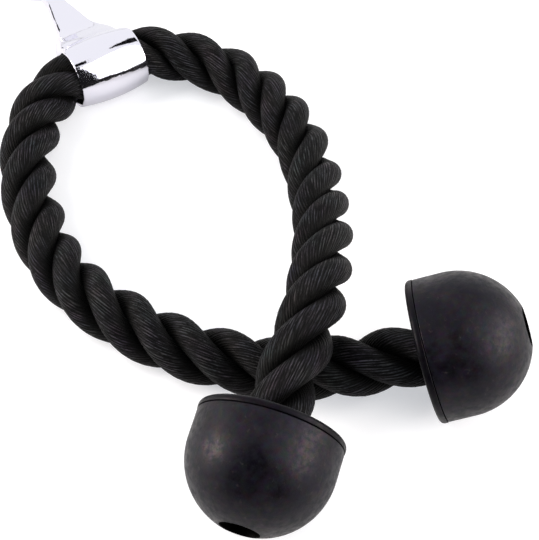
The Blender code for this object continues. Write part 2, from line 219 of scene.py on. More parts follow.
def add_piece(name, mesh, material, body, node=None):
    """Put a rigid piece in the scene. It rides a body, and replaces a node if one is named."""
    piece = add_object(name, mesh, material)
    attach(piece, body)
    if node:
        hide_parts(node)
    return piece


def mesh_from(name, bm):
    """A mesh from a bmesh, which is used up."""
    mesh = bpy.data.meshes.new(name)
    bm.to_mesh(mesh)
    bm.free()
    return mesh


def smoothed(mesh, sharp_angle):
    """The mesh, shaded smooth except over edges that are sharper than an angle."""
    mesh.shade_smooth()
    mesh.set_sharp_from_angle(angle=math.radians(sharp_angle))
    return mesh


def finish_mesh(name, bm, sharp_angle=35):
    """Turn a bmesh into a smooth mesh that keeps its sharp edges."""
    bmesh.ops.remove_doubles(bm, verts=bm.verts, dist=MERGE_DISTANCE)
    bmesh.ops.recalc_face_normals(bm, faces=bm.faces)
    return smoothed(mesh_from(name, bm), sharp_angle)


def write_attribute(mesh, name, values, kind="FLOAT", domain="POINT"):
    """Store numbers on a mesh for its material. Those of a vector follow each other."""
    field = "vector" if kind == "FLOAT_VECTOR" else "value"
    mesh.attributes.new(name, kind, domain).data.foreach_set(field, values)


def round_ring(centre, first, second, radius, sides):
    """Points round a centre, from the first direction towards the second."""
    angles = [TURN * j / sides for j in range(sides)]
    return [centre + (first * math.cos(a) + second * math.sin(a)) * radius for a in angles]


def add_tube(bm, rings):
    """Skin a row of rings of points, with a cap on both ends."""
    made = [[bm.verts.new(point) for point in ring] for ring in rings]
    bm.faces.new(made[0][::-1])
    for first, second in zip(made, made[1:]):
        for j in range(len(first)):
            k = (j + 1) % len(first)
            bm.faces.new((first[j], first[k], second[k], second[j]))
    bm.faces.new(made[-1])


def arc(centre, radius, start, end, steps):
    """Points (radius, height) of a round stretch of a turned profile."""
    angles = [math.radians(start + (end - start) * i / steps) for i in range(steps + 1)]
    return [(centre[0] + radius * math.cos(a), centre[1] + radius * math.sin(a)) for a in angles]


def turned(name, profile, sides, sharp_angle=35):
    """A body of revolution about Z. A profile that starts and ends on the axis makes a plug."""
    bm = bmesh.new()
    line = [bm.verts.new((radius, 0, height)) for radius, height in profile]
    is_plug = profile[0][0] == profile[-1][0] == 0
    edges = [bm.edges.new(pair) for pair in zip(line, line[1:] if is_plug else line[1:] + line[:1])]
    bmesh.ops.spin(
        bm, geom=line + edges, cent=(0, 0, 0), axis=UP, angle=TURN, steps=sides, use_merge=True
    )
    return finish_mesh(name, bm, sharp_angle)


# Settings that several nodes share: a range with soft ends, and a mix of colours
SOFT = {"interpolation_type": "SMOOTHSTEP"}
COLOUR = {"data_type": "RGBA"}


def feed(tree, node, inputs):
    """Give a node's inputs their values, or link them to the nodes or sockets given instead."""
    for name, value in inputs.items():
        socket = node.inputs[name]
        if isinstance(value, bpy.types.Node):
            value = value.outputs[0]
        if isinstance(value, bpy.types.NodeSocket):
            tree.links.new(value, socket)
        else:
            socket.default_value = (*value[:3], 1.0) if socket.type == "RGBA" else value


def add_node(tree, kind, inputs=(), **settings):
    """Add one node with its settings and inputs, which are given by name or else in order."""
    node = tree.nodes.new("ShaderNode" + kind)
    for name, value in settings.items():
        setattr(node, name, value)
    feed(tree, node, inputs if isinstance(inputs, dict) else dict(enumerate(inputs)))
    return node


def new_material(name, **sockets):
    """A Principled material with plain values on its sockets. Returns it, its tree and shader."""
    made = bpy.data.materials.new(name)
    made.use_nodes = True
    tree = made.node_tree
    shader = tree.nodes["Principled BSDF"]
    feed(tree, shader, {socket.replace("_", " "): value for socket, value in sockets.items()})
    return made, tree, shader


def shared_material(name, make, *given):
    """The scene's material of that name, made the first time it is asked for."""
    return bpy.data.materials.get(name) or make(*given)


def laid_nylon(settings):
    """Black multifilament nylon, twisted into yarns and laid in three strands.

    To the eye it is near black with fine grey streaks, a dull silky sheen on the crowns of the
    strands and deep black between them. The streaks follow the yarns' filaments, which run along
    the rope because the yarns are twisted against the lay. Their grey is a painted highlight,
    the filaments' sheen painted into the colour, and the black between the strands is painted
    shade.
    """
    made, tree, shader = new_material(
        "laid_black_nylon", Roughness=0.5, IOR=1.53, Specular_IOR_Level=0.075,
        Sheen_Weight=0.01, Sheen_Roughness=0.4, Sheen_Tint=(0.75, 0.75, 0.78),
    )
    yarn = add_node(tree, "Attribute", attribute_name="yarn").outputs["Vector"]
    crown = add_node(tree, "Attribute", attribute_name="crown").outputs["Fac"]
    ply = add_node(tree, "Attribute", attribute_name="ply").outputs["Fac"]
    place = add_node(tree, "NewGeometry").outputs["Position"]
    # A bundle of filaments is about 0.5 mm wide and shows for 3 to 5 mm. The yarn attribute is
    # in millimetres, with its length divided by six, so both come from one scale.
    streaks = add_node(
        tree, "TexNoise", {"Vector": yarn, "Scale": 1.7, "Detail": 3.0, "Roughness": 0.6}
    )
    # The ply attribute counts the yarns round a strand. Each is 1.4 mm wide, 3 pixels in the
    # render, and drifts by a quarter of its width.
    drift = add_node(tree, "TexNoise", {"Vector": yarn, "Scale": 0.30, "Detail": 1.0})
    counted = add_node(tree, "Math", (drift, 1.6, ply), operation="MULTIPLY_ADD")
    wave = add_node(tree, "Math", (counted, TURN), operation="MULTIPLY")
    yarns = add_node(tree, "Math", (wave,), operation="SINE")
    # Painted highlight: the filaments' sheen is painted as grey streaks on top of the yarns, and
    # painted shade keeps them dark between the yarns
    caught = add_node(tree, "MapRange", (streaks, 0.40, 0.71, 0.0, 1.0), **SOFT)
    ridge = add_node(tree, "MapRange", (yarns, -0.6, 0.9, 0.02, 1.0), **SOFT)
    glint = add_node(tree, "Math", (caught, ridge), operation="MULTIPLY")
    body = add_node(tree, "Mix", {0: glint, 6: settings.dark, 7: settings.light}, **COLOUR)
    # Dust and dye vary over 12 to 20 mm
    cloud = add_node(tree, "TexNoise", {"Vector": place, "Scale": 90.0, "Detail": 2.0})
    tints = {0: 0.34, 6: body.outputs[2], 7: cloud.outputs["Color"]}
    tinted = add_node(tree, "Mix", tints, blend_type="OVERLAY", **COLOUR).outputs[2]
    # Painted shade: the colour goes black between the strands, where the grooves are in shade
    unshaded_share = add_node(tree, "MapRange", (crown, 0.54, 0.96, 0.0, 1.0), **SOFT)
    shades = {0: unshaded_share, 6: hex_colour("#010101"), 7: tinted}
    coarse = add_node(tree, "Bump", {"Height": yarns, "Strength": 0.6, "Distance": 0.0003})
    fine = {"Height": streaks, "Strength": 0.75, "Distance": 0.0005, "Normal": coarse}
    feed(tree, shader, {
        "Base Color": add_node(tree, "Mix", shades, **COLOUR).outputs[2],
        "Roughness": add_node(tree, "MapRange", (streaks, 0.35, 0.75, 0.62, 0.40), **SOFT),
        "Normal": add_node(tree, "Bump", fine),
    })
    return made


def polished_chrome(settings):
    """Bright chrome plating over a polished steel casting.

    To the eye it is a clean mirror with a faint blue cast. The casting under it is never quite
    flat, so the edges of what it reflects waver a little.
    """
    made, tree, shader = new_material(
        "polished_chrome_plating", Base_Color=settings.plating, Metallic=1.0, Roughness=0.05
    )
    place = add_node(tree, "NewGeometry").outputs["Position"]
    # Ripples of the casting are about 4 mm long, polishing marks about 0.5 mm
    ripple = add_node(tree, "TexNoise", {"Vector": place, "Scale": 240.0, "Detail": 2.0})
    marks = add_node(
        tree, "TexNoise", {"Vector": place, "Scale": 1900.0, "Detail": 3.0, "Roughness": 0.6}
    )
    feed(tree, shader, {
        "Roughness": add_node(tree, "MapRange", (marks, 0.35, 0.75, 0.04, 0.13), **SOFT),
        "Normal": add_node(tree, "Bump", {"Height": ripple, "Strength": 0.10, "Distance": 0.0006}),
    })
    return made


def moulded_rubber(settings):
    """Black rubber, moulded in a blasted steel mould.

    To the eye it is satin: light spreads wide and soft over it. Handling rubs it browner in
    cloudy patches, wax bloom tints it and changes its gloss in blotches, and small scuffs are
    greyer. An attribute paints shade near black, in colour and shine, into the inside of the
    dome and, by half, all over the lid.
    """
    made, tree, shader = new_material(
        "moulded_black_rubber", Roughness=0.36, IOR=1.52, Specular_IOR_Level=0.26
    )
    place = add_node(tree, "NewGeometry").outputs["Position"]
    painted_shade = add_node(tree, "Attribute", attribute_name="painted_shade").outputs["Fac"]
    # Rubbed patches are 10 to 20 mm across, scuffs 1 to 3 mm, the mould's blasting 0.3 mm
    rubbed = add_node(
        tree, "TexNoise", {"Vector": place, "Scale": 70.0, "Detail": 4.0, "Roughness": 0.6}
    )
    scuffs = add_node(tree, "TexNoise", {
        "Vector": place, "Scale": 420.0, "Detail": 4.0, "Roughness": 0.65, "Distortion": 0.6
    })
    blasting = add_node(tree, "TexNoise", {"Vector": place, "Scale": 3000.0, "Detail": 1.0})
    # Bloom from the mould's release wax, purple and olive in blotches of 2 to 3 mm
    bloom = add_node(
        tree, "TexNoise", {"Vector": place, "Scale": 340.0, "Detail": 3.0, "Roughness": 0.6}
    )
    patch = add_node(tree, "MapRange", (rubbed, 0.42, 0.68, 0.0, 1.0), **SOFT)
    body = add_node(tree, "Mix", {0: patch, 6: settings.rubber, 7: settings.scuff}, **COLOUR)
    tints = {0: 0.6, 6: body.outputs[2], 7: bloom.outputs["Color"]}
    tinted = add_node(tree, "Mix", tints, blend_type="OVERLAY", **COLOUR).outputs[2]
    dust = add_node(tree, "MapRange", (scuffs, 0.60, 0.76, 0.0, 1.0), **SOFT)
    worn = add_node(tree, "Mix", {0: dust, 6: tinted, 7: hex_colour("#272223")}, **COLOUR)
    cloudy = add_node(tree, "MapRange", (rubbed, 0.30, 0.62, 0.15, 0.75), **SOFT)
    hues = {0: cloudy, 6: (0.66, 0.60, 0.80), 7: bloom.outputs["Color"]}
    shine = add_node(tree, "Mix", hues, **COLOUR)
    # Painted shade: the dome's inside, and the lid by half, go near black in colour and shine
    colours = {0: painted_shade, 6: worn.outputs[2], 7: hex_colour("#020202")}
    shines = {0: painted_shade, 6: shine.outputs[2], 7: (0.02, 0.02, 0.02)}
    blasted = add_node(tree, "Bump", {"Height": blasting, "Strength": 0.18, "Distance": 0.0001})
    scuffed = {"Height": scuffs, "Strength": 0.25, "Distance": 0.00025, "Normal": blasted}
    feed(tree, shader, {
        "Base Color": add_node(tree, "Mix", colours, **COLOUR).outputs[2],
        "Specular Tint": add_node(tree, "Mix", shines, **COLOUR).outputs[2],
        "Roughness": add_node(tree, "MapRange", (bloom, 0.34, 0.66, 0.50, 0.33), **SOFT),
        "Normal": add_node(tree, "Bump", scuffed),
    })
    return made


def zinc_plated_steel():
    """Pressed and turned steel with bright zinc plating.

    To the eye it is a greyish, slightly cloudy metal with a blue tinge, duller than chrome.
    """
    made, tree, shader = new_material(
        "zinc_plated_steel", Base_Color=hex_colour("#b9bcc1"), Metallic=1.0, Roughness=0.3
    )
    place = add_node(tree, "NewGeometry").outputs["Position"]
    # Spangle of the plating is about 1.5 mm across
    spangle = add_node(tree, "TexNoise", {"Vector": place, "Scale": 650.0, "Detail": 3.0})
    cloudy = add_node(tree, "MapRange", (spangle, 0.3, 0.7, 0.24, 0.42), **SOFT)
    feed(tree, shader, {"Roughness": cloudy})
    return made


def waxed_twine():
    """Waxed polyester twine, wound tight.

    To the eye it is black with a greasy shine on each turn.
    """
    made, tree, shader = new_material(
        "waxed_polyester_twine", Roughness=0.4, IOR=1.5, Specular_IOR_Level=0.4
    )
    place = add_node(tree, "NewGeometry").outputs["Position"]
    # The twine's own plies are about 0.4 mm
    plies = add_node(tree, "TexNoise", {"Vector": place, "Scale": 2200.0, "Detail": 2.0})
    light = add_node(tree, "MapRange", (plies, 0.4, 0.7, 0.0, 1.0), **SOFT)
    shades = {0: light, 6: hex_colour("#0f0f10"), 7: hex_colour("#2b2b2a")}
    feed(tree, shader, {"Base Color": add_node(tree, "Mix", shades, **COLOUR).outputs[2]})
    return made


def eased(share):
    """A share clamped to 0 to 1, which starts and ends gently."""
    share = min(max(share, 0), 1)
    return share * share * (3 - 2 * share)


def hermite(first, first_slope, last, last_slope, t):
    """A value on a smooth curve between two numbers or vectors with set slopes."""
    return (
        first * (2 * t**3 - 3 * t**2 + 1) + first_slope * (t**3 - 2 * t**2 + t)
        + last * (3 * t**2 - 2 * t**3) + last_slope * (t**3 - t**2)
    )


FINE_STEPS = 24    # from one point of a route to the next
ROUNDING = 1e-12


def smooth_line(points, start_way, end_way):
    """A fine line on a smooth curve through the given points, with set end directions."""
    reach = [(b - a).length for a, b in zip(points, points[1:])]
    ways = [start_way.normalized()]
    for i in range(1, len(points) - 1):
        before, after = reach[i - 1], reach[i]
        slope_in = (points[i] - points[i - 1]) / before
        slope_out = (points[i + 1] - points[i]) / after
        ways.append((slope_in * after + slope_out * before) / (before + after))
    ways.append(end_way.normalized())
    fine = []
    for i, span in enumerate(reach):
        ends = (points[i], ways[i] * span, points[i + 1], ways[i + 1] * span)
        fine += [hermite(*ends, k / FINE_STEPS) for k in range(FINE_STEPS)]
    fine.append(points[-1])
    return fine


def table_value(table, at):
    """The value at a place in a table of places and values, on a smooth curve through them."""
    at = min(max(at, table[0][0]), table[-1][0])
    i = max(k for k in range(len(table) - 1) if table[k][0] <= at)
    slopes = []
    for k in (i, i + 1):
        before, after = table[max(k - 1, 0)], table[min(k + 1, len(table) - 1)]
        slopes.append((after[1] - before[1]) / (after[0] - before[0]))
    (start, first), (end, last) = table[i], table[i + 1]
    span = end - start
    return hermite(first, slopes[0] * span, last, slopes[1] * span, (at - start) / span)


def length_of(line):
    return sum((b - a).length for a, b in zip(line, line[1:]))


def even_line(points, step):
    """The same line in equal steps, and the length of one."""
    count = round(length_of(points) / step)
    even_step = length_of(points) / count
    made, walked, target = [points[0].copy()], 0.0, even_step
    for a, b in zip(points, points[1:]):
        span = (b - a).length
        while span > 0 and walked + span >= target - ROUNDING and len(made) <= count:
            made.append(a.lerp(b, (target - walked) / span))
            target += even_step
        walked += span
    return made, even_step


def joint_place(name):
    return Vector(JOINTS[name]["pos_m"])


def joint_way(name):
    return Vector(JOINTS[name]["axis"]).normalized()


def square_on(direction, way):
    """The part of a direction that stands square on a way."""
    return (direction - way * direction.dot(way)).normalized()


STRANDS = 3
ROPE_STEP = 0.0013
ROPE_TIP = 0.0319        # how far the rope's end stands inside a ball, from the lid's face
SEAT_GAP = 0.0003        # between the collar's mouth and the leg
LAY_LENGTH = 0.070       # of one turn inside the collar, before it is fitted to the legs
SWELL_LENGTH = 0.005     # over which the rope swells to its free thickness
FLEX = (0.066, 0.114)    # the stretch of the right leg that bends when it is lifted
UNEVENNESS = 0.02        # of the lay and of the strands' thickness
WANDER_RATE = 45         # how often a strand wanders in and out, per metre of rope
SWELL_RATE = 70          # how often its thickness changes, per metre of rope
CORD_STEP = 0.004        # between the points of a leg's line walked in even steps


class RopeCourse:
    """The whole rope's centreline, from its tip in the right ball to its tip in the left one."""

    def __init__(self, settings):
        collar = bpy.context.scene.attachment.collar
        middle, bore = joint_place("collar_turn"), joint_way("collar_turn")
        self.legs, tips = {}, {}
        for side, route, table, hand in (
            ("right", RIGHT_ROUTE, RIGHT_LEAN, 1), ("left", LEFT_ROUTE, LEFT_LEAN, -1)
        ):
            lid, way = joint_place(f"{side}_ball_spin"), joint_way(f"{side}_ball_spin")
            out = bore * hand
            mouth = middle + out * (collar.length / 2) + out * SEAT_GAP
            line = smooth_line([mouth, *map(Vector, route), lid], out, way)
            self.legs[side] = self._leaned(line, table, hand)
            tips[side] = lid + way * ROPE_TIP
        right, left = self.legs["right"], self.legs["left"]
        whole = [tips["right"], *reversed(right), *left, tips["left"]]
        self.points, self.step = even_line(whole, ROPE_STEP)
        held = [length_of(line) for line in (right, [right[0], left[0]], left)]
        self.marks = [0.0]
        for length in (ROPE_TIP, *held, ROPE_TIP):
            self.marks.append(self.marks[-1] + length)
        stretches = ("right_end", "right", "middle", "left", "left_end")
        self.spans = dict(zip(stretches, zip(self.marks, self.marks[1:])))
        self._carry_frames()
        self._lay(settings)

    @staticmethod
    def _leaned(line, table, hand):
        """The line, moved across towards the inside of its bend by a table."""
        made, walked = [line[0].copy()], 0.0
        for i in range(1, len(line)):
            walked += (line[i] - line[i - 1]).length
            way = (line[min(i + 1, len(line) - 1)] - line[i - 1]).normalized()
            lean = table_value(table, walked / MM) * MM
            made.append(line[i] + way.cross(UP).normalized() * hand * lean)
        return made

    def _carry_frames(self):
        """Carry one cross direction along the line without turning it about the line."""
        self.ways, self.across = [], []
        last = len(self.points) - 1
        for i in range(last + 1):
            way = (self.points[min(i + 1, last)] - self.points[max(i - 1, 0)]).normalized()
            if i == 0:
                across = UP
            else:
                across = self.ways[-1].rotation_difference(way) @ self.across[-1]
            self.ways.append(way)
            self.across.append(square_on(across, way))

    def _lay(self, settings):
        """How far the strands have turned at each step. Inside the collar the lay takes up the
        difference between the legs."""
        _, right_lid, right_mouth, left_mouth, left_lid, _ = self.marks
        held = left_mouth - right_mouth
        start, left_start = table_value(RIGHT_TURNS, 0), table_value(LEFT_TURNS, 0)
        natural = start + 360 * held / LAY_LENGTH
        third = 360 / STRANDS
        shift = third * round((natural - left_start) / third)
        self.turns, self.envelopes = [], []
        for i in range(len(self.points)):
            s = i * self.step
            if s <= right_mouth:
                turn = table_value(RIGHT_TURNS, (right_mouth - s) / MM)
            elif s <= left_mouth:
                turn = start + (left_start + shift - start) * (s - right_mouth) / held
            else:
                turn = shift + table_value(LEFT_TURNS, (s - left_mouth) / MM)
            self.turns.append(math.radians(turn))
            free = max(min(s - right_lid, right_mouth - s), min(s - left_mouth, left_lid - s))
            swelling = (settings.diameter - settings.held_diameter) * eased(free / SWELL_LENGTH)
            self.envelopes.append(settings.held_diameter + swelling)

    def at(self, distance):
        """Place, direction, cross direction and turn of the strands at a distance."""
        last = len(self.points) - 1
        steps = min(max(distance / self.step, 0), last)
        i = min(int(steps), last - 1)
        t = steps - i
        way = self.ways[i].lerp(self.ways[i + 1], t).normalized()
        across = square_on(self.across[i].lerp(self.across[i + 1], t), way)
        turn = self.turns[i] + (self.turns[i + 1] - self.turns[i]) * t
        return self.points[i].lerp(self.points[i + 1], t), way, across, turn, self.envelopes[i]

    def strand_at(self, distance, index, settings):
        """Centre of one strand and the direction from the rope's middle out to it."""
        place, way, across, turn, envelope = self.at(distance)
        angle = turn + TURN * index / STRANDS
        out = across * math.cos(angle) + way.cross(across) * math.sin(angle)
        reach = (envelope - settings.strand) / 2
        return place + out * reach * uneven(distance * WANDER_RATE, index * 7.3, 0.5), out


def uneven(*place):
    """A factor close to 1 that drifts from place to place, as nothing laid by hand is even."""
    return 1 + UNEVENNESS * noise.noise(Vector(place))


STRAND_SIDES = 22
NEARBY = 0.0004              # how far ahead and behind shows which way a strand runs
YARNS = 28                   # yarns in the skin of one strand
YARN_LENGTH_SHARE = 1 / 6    # the yarn pattern's length is this share of its width
STRANDS_APART = 40           # in the yarn pattern, so that the strands differ


def strands_mesh(name, course, start, end, settings):
    """Three round strands laid along the rope between two distances."""
    bm = bmesh.new()
    count = max(2, round((end - start) / ROPE_STEP))
    yarn_values, crown_values, ply_values = [], [], []
    radius = settings.strand / 2
    angles = [TURN * j / STRAND_SIDES for j in range(STRAND_SIDES + 1)]
    for index in range(STRANDS):
        rings, lays = [], []
        for k in range(count + 1):
            s = start + (end - start) * k / count
            centre, out = course.strand_at(s, index, settings)
            ahead, behind = (
                course.strand_at(s + apart, index, settings)[0] for apart in (NEARBY, -NEARBY)
            )
            way = (ahead - behind).normalized()
            out = square_on(out, way)
            swell = uneven(s * SWELL_RATE, index * 3.1, 4.0)
            ring = round_ring(centre, out, way.cross(out), radius * swell, STRAND_SIDES)
            lay = course.at(s)[3] * settings.diameter / settings.strand
            for place, angle in zip(ring, angles):
                place.z = max(place.z, 0.0)
                # The yarns keep to the rope's length, so they turn back against the lay
                yarn = angle + lay
                yarn_values += (
                    math.cos(yarn) * radius / MM, math.sin(yarn) * radius / MM,
                    (s / MM) * YARN_LENGTH_SHARE + index * STRANDS_APART,
                )
                # The crown measure sets where the material paints shade between the strands
                crown_values.append(0.5 + 0.5 * math.cos(angle))
            rings.append(ring)
            lays.append(lay)
        add_tube(bm, rings)
        cap = [0.0] * STRAND_SIDES
        ply_values += cap
        for lay, next_lay in zip(lays, lays[1:]):
            for near, far in zip(angles, angles[1:]):
                corners = (near + lay, far + lay, far + next_lay, near + next_lay)
                ply_values += [YARNS * corner / TURN for corner in corners]
        ply_values += cap
    mesh = smoothed(mesh_from(name, bm), sharp_angle=60)
    write_attribute(mesh, "yarn", yarn_values, "FLOAT_VECTOR")
    write_attribute(mesh, "crown", crown_values)
    write_attribute(mesh, "ply", ply_values, domain="CORNER")
    return mesh


FIBRE_RADIUS = 0.00006
FIBRE_TAPER = 0.6            # share of its thickness that a fibre loses towards its tip
FIBRE_LENGTHS = (0.0025, 0.0075)
FIBRE_ROOT_SHARE = 0.48      # how far out a fibre starts, as a share of the strand's thickness
FIBRE_SPREAD = 75            # degrees to either side of the strand's crown
FIBRE_RISES = (0.25, 0.8)    # how steeply a fibre leaves the strand
FIBRE_BENDS = (0.5, 1.4)     # how far it bends back
FIBRE_SWAY = 0.6             # how far it bends to either side
FIBRE_CLEARANCE = 0.0004     # over the floor
FIBRE_LINKS = 6
FIBRE_SIDES = 3


def fuzz_mesh(name, course, start, end, settings, seed):
    """Loose fibres that stand off the strands. Real ones are 0.03 mm thick and are drawn at
    0.12 mm, or they would not show."""
    chance = random.Random(seed)
    bm = bmesh.new()
    yarn_values = []
    for number in range(settings.fuzz):
        s = chance.uniform(start, end)
        centre, out = course.strand_at(s, chance.randrange(STRANDS), settings)
        way = course.at(s)[1]
        angle = math.radians(chance.uniform(-FIBRE_SPREAD, FIBRE_SPREAD))
        side = way.cross(out).normalized()
        normal = out * math.cos(angle) + side * math.sin(angle)
        root = centre + normal * settings.strand * FIBRE_ROOT_SHARE
        along = way * chance.choice((-1, 1)) + normal * chance.uniform(*FIBRE_RISES)
        along.normalize()
        back, sway = chance.uniform(*FIBRE_BENDS), chance.uniform(-FIBRE_SWAY, FIBRE_SWAY)
        bend = side * sway - normal * back
        reach = chance.uniform(*FIBRE_LENGTHS)
        rings = []
        for k in range(FIBRE_LINKS + 1):
            t = k / FIBRE_LINKS
            place = root + along * reach * t + bend * reach * t * t * 0.5
            place.z = max(place.z, FIBRE_CLEARANCE)
            thick = FIBRE_RADIUS * (1 - FIBRE_TAPER * t)
            rings.append(round_ring(place, side, normal, thick, FIBRE_SIDES))
            for j in range(FIBRE_SIDES):
                yarn_values += (j, number, k)
        add_tube(bm, rings)
    mesh = smoothed(mesh_from(name, bm), sharp_angle=180)
    write_attribute(mesh, "yarn", yarn_values, "FLOAT_VECTOR")
    write_attribute(mesh, "crown", [1.0] * len(mesh.vertices))
    return mesh


def ball_stand(side):
    """Where a ball stands: the middle of its lid's face, with Z along the rope's end."""
    place, way = joint_place(f"{side}_ball_spin"), joint_way(f"{side}_ball_spin")
    return Matrix.Translation(place) @ way.to_track_quat("Z", "Y").to_matrix().to_4x4()


SEAL_INSET = 0.0006
SEAL_SUNK = 0.0004
SEAL_THICKNESS = 0.0012
SEAL_SIDES = 64


def sealed_end_mesh(name, settings):
    """Nylon melted between the strands by the hot knife that cut the rope."""
    radius, top = settings.held_diameter / 2 - SEAL_INSET, ROPE_TIP - SEAL_SUNK
    foot = top - SEAL_THICKNESS
    return turned(name, [(0, foot), (radius, foot), (radius, top), (0, top)], SEAL_SIDES)


def lay_leg(context, side, seed):
    """The rope's course, and the strands and fibres of one leg."""
    settings = context.scene.attachment.rope
    course = RopeCourse(settings)
    nylon = shared_material("laid_black_nylon", laid_nylon, settings)
    given = (course, *course.spans[side], settings)
    strands, fibres = f"{side}_leg_strands", f"{side}_leg_fibres"
    leg = add_object(strands, strands_mesh(strands, *given), nylon)
    fuzz = add_object(fibres, fuzz_mesh(fibres, *given, seed), nylon)
    return course, leg, fuzz


def declare_cord(course, side):
    """Walk one leg's line in even steps; nothing is kept of the points."""
    line = course.legs[side]
    [tuple(point) for point in even_line(line, CORD_STEP)[0]]


class ATTACHMENT_OT_camera(bpy.types.Operator):
    """Place the camera where the photograph was taken from"""

    bl_idname = "attachment.camera"
    bl_label = "Camera"

    def execute(self, context):
        data = bpy.data.cameras.new("camera")
        data.sensor_fit = "VERTICAL"
        data.sensor_height = 36.0
        data.lens = 96.33
        data.clip_start = 0.02
        camera = add_object("camera", data)
        camera.location = (-0.208, -0.4291, 0.5233)
        camera.rotation_euler = [math.radians(a) for a in (40.0, 0.0, -30.8)]
        context.scene.camera = camera
        return {"FINISHED"}


class ATTACHMENT_OT_left_leg(bpy.types.Operator):
    """Lay the rope's left leg, from the collar's mouth to the left ball"""

    bl_idname = "attachment.left_leg"
    bl_label = "Left leg"

    def execute(self, context):
        course, leg, fuzz = lay_leg(context, "left", seed=11)
        for piece in (leg, fuzz):
            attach(piece, "rope")
        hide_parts("rope_left_leg")
        declare_cord(course, "left")
        return {"FINISHED"}


class ATTACHMENT_OT_right_leg(bpy.types.Operator):
    """Lay the rope's right leg; the stretch that bends when it is lifted is found but not used"""

    bl_idname = "attachment.right_leg"
    bl_label = "Right leg"

    def execute(self, context):
        course, leg, fuzz = lay_leg(context, "right", seed=23)
        mouth = course.spans["right"][1]
        flex_start, flex_end = (course.at(mouth - distance)[0] for distance in FLEX)
        for piece in (leg, fuzz):
            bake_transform(piece)
        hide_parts("rope_right_root", "rope_right_flex", "rope_right_leg")
        declare_cord(course, "right")
        return {"FINISHED"}


class ATTACHMENT_OT_held_rope(bpy.types.Operator):
    """Lay the parts of the rope that the collar and the balls hold"""

    bl_idname = "attachment.held_rope"
    bl_label = "Held rope"

    def execute(self, context):
        settings = context.scene.attachment.rope
        course = RopeCourse(settings)
        nylon = shared_material("laid_black_nylon", laid_nylon, settings)
        for stretch, body in (("middle", "rope"), ("left_end", "rope"), ("right_end", "right_leg")):
            name = f"{stretch}_strands"
            mesh = strands_mesh(name, course, *course.spans[stretch], settings)
            add_piece(name, mesh, nylon, body, f"rope_{stretch}")
        for side, body in (("left", "rope"), ("right", "right_leg")):
            mesh = sealed_end_mesh(f"{side}_sealed_end", settings)
            mesh.transform(ball_stand(side))
            add_piece(mesh.name, mesh, nylon, body)
        return {"FINISHED"}


RIM_ROUND = 0.0006      # of the barrel's rims
EYE_ROUND = 0.0016      # of the eye's edges
BARREL_STEPS = 16       # from the barrel's middle to a rim
BARREL_SIDES = 160
EYE_SIDES = 96
CUTTER_SIDES = 128
WEB_STEPS = 6           # from one web station to the next
WEB_SIDES = 96
WEB_SQUARENESS = 3.2    # 2 would be an ellipse
SOFTENINGS = 14         # passes over the casting's corners
RIM_KEPT = 0.003        # how much of each of the barrel's rims stays crisp
WEB_START = 0.005       # from the bore's axis, past which the rims are softened too
CUT_OVERRUN = 0.006
MOUTH_FLARE = 0.0005    # of the bore, at both mouths
EYE_FLARE = 0.0008      # of the eye's hole, at both faces


def smooth_shares(stations):
    """Web stations with more between them, on a smooth curve."""
    made, last = [], len(stations) - 1
    for i in range(last):
        near = [stations[min(max(i + k, 0), last)] for k in (-1, 0, 1, 2)]
        for step in range(WEB_STEPS):
            made.append(tuple(
                hermite(b, (c - a) / 2, c, (d - b) / 2, step / WEB_STEPS)
                for a, b, c, d in zip(*near)
            ))
    made.append(stations[-1])
    return made


def add_web(bm, collar):
    """The web and neck, lofted from the barrel to the eye as a superellipse."""
    reach = collar.eye_distance - collar.eye_hole
    neck_across, neck_up = collar.neck_width / 2, collar.neck_thickness / 2
    circle = []
    for i in range(WEB_SIDES):
        angle = TURN * i / WEB_SIDES
        circle.append([
            math.copysign(abs(c) ** (2 / WEB_SQUARENESS), c)
            for c in (math.cos(angle), math.sin(angle))
        ])
    rings = []
    for distance, width, thickness in smooth_shares(WEB_SHARES):
        half_width = neck_across + max(width, 0) * (collar.length / 2 - neck_across)
        half_thickness = neck_up + max(thickness, 0) * (collar.radius - neck_up)
        rings.append([(x * half_width, distance * reach, z * half_thickness) for x, z in circle])
    add_tube(bm, rings)


def add_turned(bm, profile, sides, matrix):
    """A turned plug put into a bmesh with its axis where the matrix says."""
    mesh = turned("plug", profile, sides)
    mesh.transform(matrix)
    bm.from_mesh(mesh)
    bpy.data.meshes.remove(mesh)


def through_profile(half, radius, flare):
    """Profile of a cutter for a through hole that widens at both faces."""
    over, narrow, wide = half + CUT_OVERRUN, half - flare, radius + flare
    return [(0, -over), (wide, -over), (wide, -half), (radius, -narrow),
            (radius, narrow), (wide, half), (wide, over), (0, over)]


def applied(obj, name):
    """The object's mesh with its modifiers in it."""
    graph = bpy.context.evaluated_depsgraph_get()
    mesh = bpy.data.meshes.new_from_object(obj.evaluated_get(graph), depsgraph=graph)
    mesh.name = name
    return mesh


